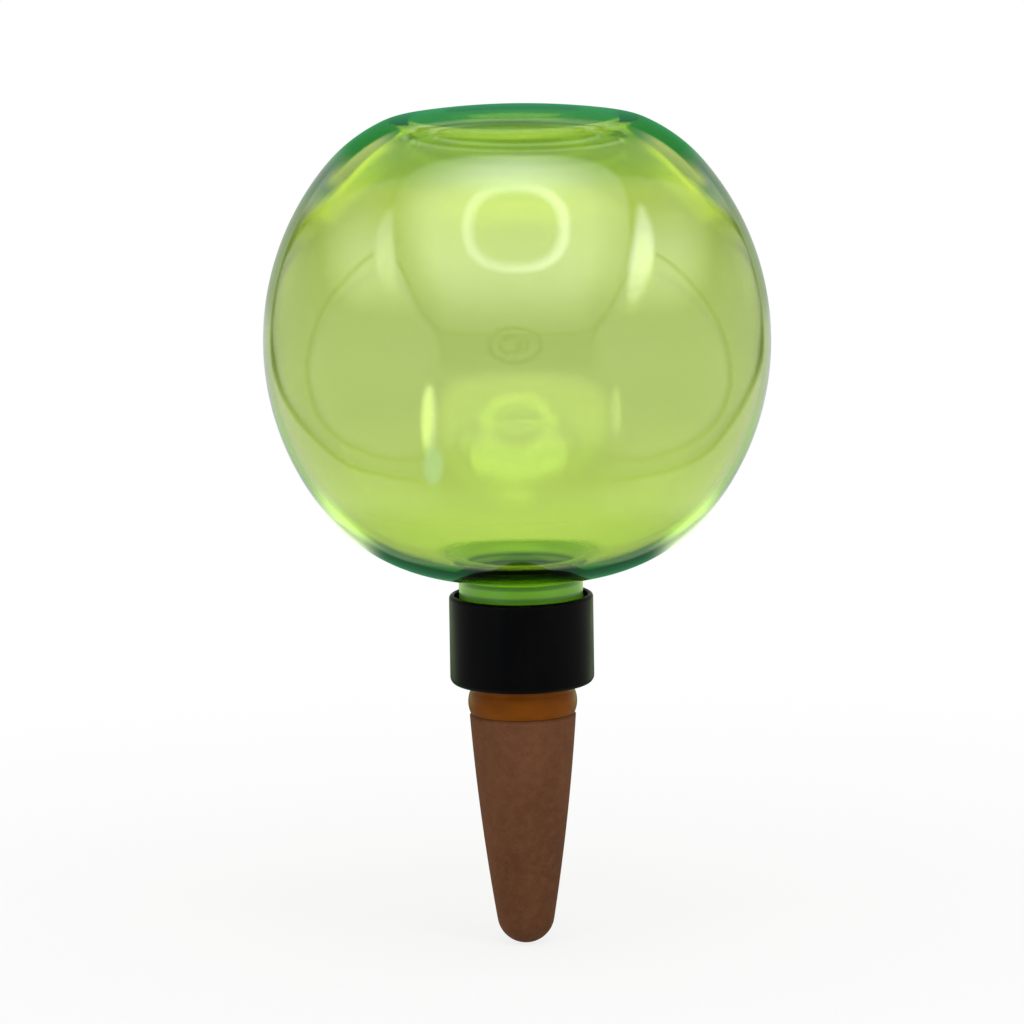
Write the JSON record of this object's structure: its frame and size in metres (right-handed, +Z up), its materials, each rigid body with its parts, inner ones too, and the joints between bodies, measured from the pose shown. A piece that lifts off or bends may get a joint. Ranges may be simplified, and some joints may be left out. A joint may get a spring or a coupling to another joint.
{
  "type": "plant watering globe",
  "caption": "Clear green watering globe that screws neck down into a black cap on a hollow clay cone, which seeps water into the soil of a pot.",
  "frame": {"origin": "centre of the lower face of the screw cap, at the soil line", "axes": "+Z up along the axis of the globe, away from the soil; the clay cone points along -Z"},
  "size_m": [0.14, 0.14, 0.2338],
  "materials": {
    "green_plastic": "clear, tinted green, glossy",
    "black_plastic": "satin",
    "seal_rubber": "matt",
    "amber_rubber": "smooth, slightly translucent",
    "fired_clay": "unglazed, fine pores"
  },
  "bodies": {
    "spike": {"screw_cap": "black_plastic", "cone_collar": "amber_rubber", "clay_cone": "fired_clay"},
    "seal": {"seal_ring": "seal_rubber"},
    "vessel": {"globe": "green_plastic"}
  },
  "joints": [
    {"name": "globe_turn", "type": "hinge", "parent": "spike", "child": "seal", "pos_m": [0, 0, 0], "axis": [0, 0, 1], "range_deg": [0, 1440]},
    {"name": "globe_lift", "type": "slide", "parent": "seal", "child": "vessel", "axis": [0, 0, 1], "range_m": [0, 0.016]}
  ],
  "couplings": [
    {"joint": "globe_lift", "follows": "globe_turn", "m_per_rad": 0.00063662}
  ]
}
